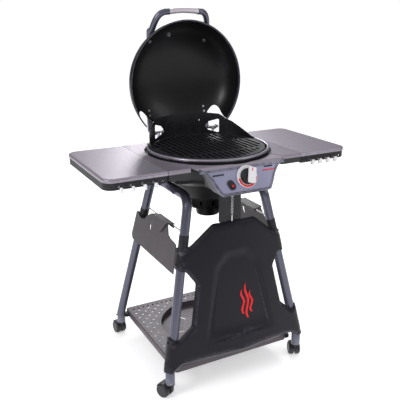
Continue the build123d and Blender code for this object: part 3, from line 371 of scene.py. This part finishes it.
def dome_head(bm, r, high, place, rings=4, steps=20):
    """Pan screw head with a round recess in its top."""
    previous = None
    for k in range(rings + 1):
        t = k / rings * pi / 2
        ring = []
        for i in range(steps):
            a = 2 * pi * i / steps
            ring.append(bm.verts.new(place @ Vector((r * cos(t * 0.8) * cos(a), r * cos(t * 0.8) * sin(a),
                                                     high * sin(t)))))
        if previous:
            for i in range(steps):
                j = (i + 1) % steps
                bm.faces.new((previous[i], previous[j], ring[j], ring[i]))
        previous = ring
    inner = [bm.verts.new(v.co - (place.to_3x3() @ Vector((0, 0, high * 0.5)))) for v in previous]
    for i in range(steps):
        j = (i + 1) % steps
        bm.faces.new((previous[i], previous[j], inner[j], inner[i]))
    bm.faces.new(inner)


# where a leg's centre line stands at its foot and at its bend
FOOT_Z, BEND_Z = 0.112, 0.766
FOOT_X, BEND_X = 0.296, 0.1645
FRONT_FOOT_Y, FRONT_BEND_Y = -0.248, -0.150
BACK_FOOT_Y, BACK_BEND_Y = 0.276, 0.176
LEG_R = 0.018
SLEEVE = 0.006              # between a front leg's tube and the panel's outer skin


def leg_point(z, side, front):
    """Centre line of a splayed leg at height z."""
    along = (z - FOOT_Z) / (BEND_Z - FOOT_Z)
    x = FOOT_X + (BEND_X - FOOT_X) * along
    y0, y1 = (FRONT_FOOT_Y, FRONT_BEND_Y) if front else (BACK_FOOT_Y, BACK_BEND_Y)
    return Vector((side * x, BOWL_Y + y0 + (y1 - y0) * along, z))


def screws_on_legs(bm):
    """Screw heads on the outer side of each leg, at the panel and the tray."""
    for side in (-1, 1):
        for front, heights in ((True, (0.150, 0.228, 0.520, 0.570)), (False, (0.100, 0.505))):
            for z in heights:
                out = Vector((side, 0, 0.2)).normalized()
                reach = LEG_R + 0.0001 if not front else LEG_R + SLEEVE + 0.0003
                spot = leg_point(z, side, front) + out * reach
                dome_head(bm, 0.0048, 0.0022, Matrix.Translation(spot) @
                          out.to_track_quat("Z", "Y").to_matrix().to_4x4())


piece("leg_screws", screws_on_legs, "cart", "black_plastic")


def hook_caps(bm, side):
    """White slip-on cap on the tip of each tool hook."""
    low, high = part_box(side + "_hook_tips")
    tips = nodes[side + "_hook_tips"].data.vertices
    groups = {}
    for v in tips:
        key = next((k for k in groups if abs(k - v.co.x) < 0.012), None)
        groups.setdefault(v.co.x if key is None else key, []).append(v.co.x)
    for xs in groups.values():
        x = (min(xs) + max(xs)) / 2
        middle = Vector((x, (low.y + high.y) / 2 - 0.001, (low.z + high.z) / 2))
        rings = []
        for r, z in ((0.0022, -0.0095), (0.0044, -0.0088), (0.0056, -0.0066), (0.0060, -0.003),
                     (0.0060, 0.004), (0.0055, 0.0072), (0.0042, 0.0092), (0.0020, 0.0100)):
            rings.append([bm.verts.new(middle + Vector((r * cos(2 * pi * i / 20),
                                                        r * sin(2 * pi * i / 20), z))) for i in range(20)])
        for a, b in zip(rings, rings[1:]):
            for i in range(20):
                j = (i + 1) % 20
                bm.faces.new((a[i], a[j], b[j], b[i]))
        bm.faces.new(rings[0][::-1])
        bm.faces.new(rings[-1])


for side in ("left", "right"):
    caps = piece(side + "_hook_caps", lambda bm, side=side: hook_caps(bm, side), side + "_shelf",
                 "white_plastic")
    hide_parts(side + "_hook_tips")


# ---------------------------------------------------------------- moulded front panel
def mirrored_outline(points):
    """Closed outline from its right half, listed from top middle to bottom middle."""
    return points + [(-x, z) for x, z in reversed(points) if x > 0]


def inset(points, reach):
    """Outline moved inwards by reach with mitred corners; points run clockwise."""
    moved = []
    count = len(points)
    for i in range(count):
        before, here, after = (Vector(points[(i + k) % count]) for k in (-1, 0, 1))
        a, b = (here - before).normalized(), (after - here).normalized()
        na, nb = Vector((a.y, -a.x)), Vector((b.y, -b.x))
        middle = (na + nb).normalized()
        moved.append(tuple(here + middle * reach / max(0.45, middle.dot(na))))
    return moved


def softened(points, corner):
    """Outline whose corners are cut by short arcs about corner long."""
    result = []
    count = len(points)
    for i in range(count):
        before, here, after = (Vector(points[(i + k) % count]) for k in (-1, 0, 1))
        cut_a = min(corner, (before - here).length * 0.4)
        cut_b = min(corner, (after - here).length * 0.4)
        start = here + (before - here).normalized() * cut_a
        end = here + (after - here).normalized() * cut_b
        for k in range(5):
            t = k / 4
            result.append(tuple(start * (1 - t) ** 2 + here * 2 * t * (1 - t) + end * t * t))
    return result


def edge_distance(point, outline):
    """Shortest distance from a point to a closed outline."""
    best = 1e9
    count = len(outline)
    for i in range(count):
        a, b = Vector(outline[i]), Vector(outline[(i + 1) % count])
        along = b - a
        t = max(0, min(1, (point - a).dot(along) / max(along.length_squared, 1e-12)))
        best = min(best, (point - a - along * t).length)
    return best


def inside(point, outline):
    """Whether a point lies inside a closed outline."""
    hit = False
    count = len(outline)
    for i in range(count):
        (x0, y0), (x1, y1) = outline[i], outline[(i + 1) % count]
        if (y0 > point.y) != (y1 > point.y) and point.x < (x1 - x0) * (point.y - y0) / (y1 - y0) + x0:
            hit = not hit
    return hit


WRAP_R = 0.024          # the panel's radius round each front leg
WRAP_END = 0.010        # straight stretch behind the leg's middle
BOW = 0.031             # how far the panel's middle stands in front of its edges
BAND, BAND_DEEP = 0.014, 0.012          # sunk band along the panel's edge
DISH_SLOPE, DISH_DEEP = 0.026, 0.0085
PANEL_EDGE = [(0, 0.666), (0.092, 0.666), (0.168, 0.604), (0.186, 0.590), (0.250, 0.586), (0.250, 0.508),
              (0.222, 0.503), (0.206, 0.496), (0.174, 0.450), (0.204, 0.290), (0.262, 0.240), (0.288, 0.250),
              (0.340, 0.256), (0.340, 0.118), (0.286, 0.118), (0.252, 0.143), (0, 0.143)]
DISH_EDGE = [(0, 0.556), (0.048, 0.556), (0.100, 0.504), (0.166, 0.192), (0, 0.192)]
MESH_STEP = 0.011       # spacing of the mesh points inside the outlines
MESH_CLEAR = 0.004      # and the nearest that they come to an outline
DISH_FADE = 0.075       # the dish runs out to nothing over this height at its foot


def panel_half(z):
    """Half width of the panel's front at height z, out to the legs' outer side."""
    return FOOT_X + LEG_R + SLEEVE - (FOOT_X - BEND_X) / (BEND_Z - FOOT_Z) * (z - FOOT_Z)


def to_wrap(x, z):
    """Distance along the panel's bowed section for a point seen from the front."""
    flat = panel_half(z) - WRAP_R
    if abs(x) <= flat:
        return x
    turn = asin(min(1, (abs(x) - flat) / WRAP_R))
    end = WRAP_END if abs(x) > flat + WRAP_R else 0
    return (flat + WRAP_R * turn + end) * (1 if x > 0 else -1)


def panel_place(u, z, depth):
    """Point on the panel's outer skin, sunk by depth towards the bottle bay."""
    half = panel_half(z)
    flat = half - WRAP_R
    front = FRONT_FOOT_Y - LEG_R - SLEEVE + (FRONT_BEND_Y - FRONT_FOOT_Y) / (BEND_Z - FOOT_Z) * (z - FOOT_Z)
    side = 1 if u > 0 else -1
    bow = BOW * (1 - (min(abs(u), flat) / half) ** 2)
    edge = BOW * (1 - (flat / half) ** 2)
    if abs(u) <= flat:
        return Vector((u, BOWL_Y + front - bow + depth, z))
    turn = min(pi / 2, (abs(u) - flat) / WRAP_R)
    past = max(0, abs(u) - flat - WRAP_R * pi / 2)
    reach = WRAP_R - depth
    middle = front - edge * (1 - turn * 2 / pi) + WRAP_R
    return Vector((side * (flat + reach * sin(turn)), BOWL_Y + middle - reach * cos(turn) + past, z))


def moulded_panel(bm):
    """Outer skin of the front panel with its edge band and its dished middle."""
    edge = softened([(to_wrap(x, z), z) for x, z in mirrored_outline(PANEL_EDGE)], 0.009)
    inner = inset(edge, BAND)
    dish = softened(mirrored_outline(DISH_EDGE), 0.010)
    floor = inset(dish, DISH_SLOPE)
    points, links = [], []
    for loop in (edge, inner, dish, floor):
        start = len(points)
        points += [Vector(p) for p in loop]
        links += [(start + i, start + (i + 1) % len(loop)) for i in range(len(loop))]
    for i in range(-34, 35):
        for k in range(0, 52):
            spot = Vector((i * MESH_STEP, FOOT_Z + k * MESH_STEP))
            if inside(spot, edge) and min(edge_distance(spot, loop)
                                          for loop in (edge, inner, dish, floor)) > MESH_CLEAR:
                points.append(spot)
    found, _, faces, *_ = delaunay_2d_cdt(points, links, [], 0, 1e-5)
    corners = []
    for spot in found:
        flat = panel_half(spot.y) - WRAP_R
        side_fade = max(0, min(1, (flat + 0.004 - abs(spot.x)) / 0.012))
        band = max(0, 1 - edge_distance(spot, edge) / BAND) * BAND_DEEP * side_fade
        dip = 0
        if inside(spot, dish) or edge_distance(spot, dish) < 1e-5:
            foot = max(0, min(1, (spot.y - DISH_EDGE[-1][1]) / DISH_FADE))
            dip = min(1, edge_distance(spot, dish) / DISH_SLOPE) * DISH_DEEP * foot * foot * (3 - 2 * foot)
        corners.append(bm.verts.new(panel_place(spot.x, spot.y, max(band, dip))))
    for face in faces:
        middle = sum((found[i] for i in face), Vector((0, 0))) / len(face)
        if inside(middle, edge):
            bm.faces.new([corners[i] for i in face])


panel = piece("moulded_front_panel", moulded_panel, "cart", "panel_plastic")
if sum(p.normal.y for p in panel.data.polygons) > 0:
    panel.data.flip_normals()
wall = panel.modifiers.new("wall", "SOLIDIFY")
wall.thickness = 0.003
wall.offset = -1
rounding = panel.modifiers.new("soft_edges", "BEVEL")
rounding.width = 0.0011
rounding.segments = 2
rounding.limit_method = "ANGLE"
rounding.angle_limit = radians(24)
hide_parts("front_panel")

# ---------------------------------------------------------------- console border
CONSOLE_EDGE = [(0, 0.8935), (0.183, 0.8935), (0.176, 0.891), (0.152, 0.877), (0.134, 0.855), (0.117, 0.822),
                (0.104, 0.804), (0.092, 0.7995), (0, 0.7995)]


def console_border(bm):
    """Raised dark border that runs round the console's face."""
    outer = softened(mirrored_outline(CONSOLE_EDGE), 0.006)
    loops = [(inset(outer, 0.0008), 0.0001), (inset(outer, 0.0012), 0.0009), (inset(outer, 0.0082), 0.0012),
             (inset(outer, 0.0094), 0.0001)]
    rings = []
    for loop, lift in loops:
        rings.append([bm.verts.new(face_matrix(x, z, lift).translation) for x, z in loop])
    count = len(rings[0])
    for a, b in zip(rings, rings[1:] + rings[:1]):
        for i in range(count):
            j = (i + 1) % count
            bm.faces.new((a[i], a[j], b[j], b[i]))


piece("console_border", console_border, "cart", "border_paint")


# ---------------------------------------------------------------- stage, light and camera
def add_floor():
    """Pale floor with a slight glow of its own, so that it stays near white."""
    bpy.ops.mesh.primitive_plane_add(size=24, location=(0, 0, -0.0002))
    floor = bpy.context.object
    floor.name = "floor"
    g = Graph("floor_pale")
    g.link(g.ramp(g.noise(2.0, 3.0), (0.86, 0.86, 0.865), (0.885, 0.885, 0.89)),
           g.shader.inputs["Base Color"])
    g.shader.inputs["Roughness"].default_value = 0.85
    g.shader.inputs["Emission Color"].default_value = (1, 1, 1, 1)
    g.shader.inputs["Emission Strength"].default_value = 0.45
    floor.data.materials.append(g.material)


def add_area(name, place, target, size, power):
    """Round white softbox aimed at a target."""
    light = bpy.data.lights.new(name, "AREA")
    light.shape = "DISK"
    light.size = size
    light.energy = power
    lamp = bpy.data.objects.new(name, light)
    scene.collection.objects.link(lamp)
    lamp.location = place
    lamp.rotation_euler = (Vector(target) - Vector(place)).to_track_quat("-Z", "Y").to_euler()


def add_world():
    """Grey overhead light; the camera itself sees plain white behind the object."""
    world = bpy.data.worlds.new("studio")
    scene.world = world
    world.use_nodes = True
    tree = world.node_tree
    background = tree.nodes["Background"]
    background.inputs["Strength"].default_value = 1.0
    direction = tree.nodes.new("ShaderNodeTexCoord")
    split = tree.nodes.new("ShaderNodeSeparateXYZ")
    tree.links.new(direction.outputs["Generated"], split.inputs[0])
    sky = tree.nodes.new("ShaderNodeValToRGB")       # soft box overhead, darker low down
    sky.color_ramp.elements[0].position = 0.0
    sky.color_ramp.elements[0].color = (0.12, 0.12, 0.13, 1)
    sky.color_ramp.elements[1].position = 0.75
    sky.color_ramp.elements[1].color = (0.85, 0.84, 0.86, 1)
    tree.links.new(split.outputs["Z"], sky.inputs["Fac"])
    backdrop = tree.nodes.new("ShaderNodeBackground")  # plain white behind the object
    backdrop.inputs["Color"].default_value = (1, 1, 1, 1)
    seen = tree.nodes.new("ShaderNodeLightPath")
    choose = tree.nodes.new("ShaderNodeMixShader")
    tree.links.new(sky.outputs["Color"], background.inputs["Color"])
    tree.links.new(seen.outputs["Is Camera Ray"], choose.inputs["Fac"])
    tree.links.new(background.outputs[0], choose.inputs[1])
    tree.links.new(backdrop.outputs[0], choose.inputs[2])
    tree.links.new(choose.outputs[0], tree.nodes["World Output"].inputs["Surface"])


CAMERA_PLACE = (-1.080, -1.959 + BOWL_Y, 1.433)
CAMERA_DOWN, CAMERA_ROUND = 18.48, 28.08        # degrees below level and to the object's left
FOCAL_LENGTH = 52.02


def add_camera():
    """Camera at the reference view, with depth of field off."""
    lens = bpy.data.cameras.new("camera")
    lens.sensor_width = 36
    lens.lens = FOCAL_LENGTH
    lens.clip_end = 60
    camera = bpy.data.objects.new("camera", lens)
    scene.collection.objects.link(camera)
    camera.location = CAMERA_PLACE
    camera.rotation_euler = (radians(90 - CAMERA_DOWN), 0, radians(-CAMERA_ROUND))
    scene.camera = camera


add_floor()
add_world()
add_area("key", (-3.0, -1.0, 2.4), (0, 0, 0.8), 1.2, 42)
add_area("fill", (2.4, -2.4, 2.2), (0, 0, 0.6), 1.2, 12)
add_area("back", (1.2, 2.8, 2.6), (0, 0, 0.9), 1.2, 45)
add_camera()
scene.view_settings.view_transform = "Standard"
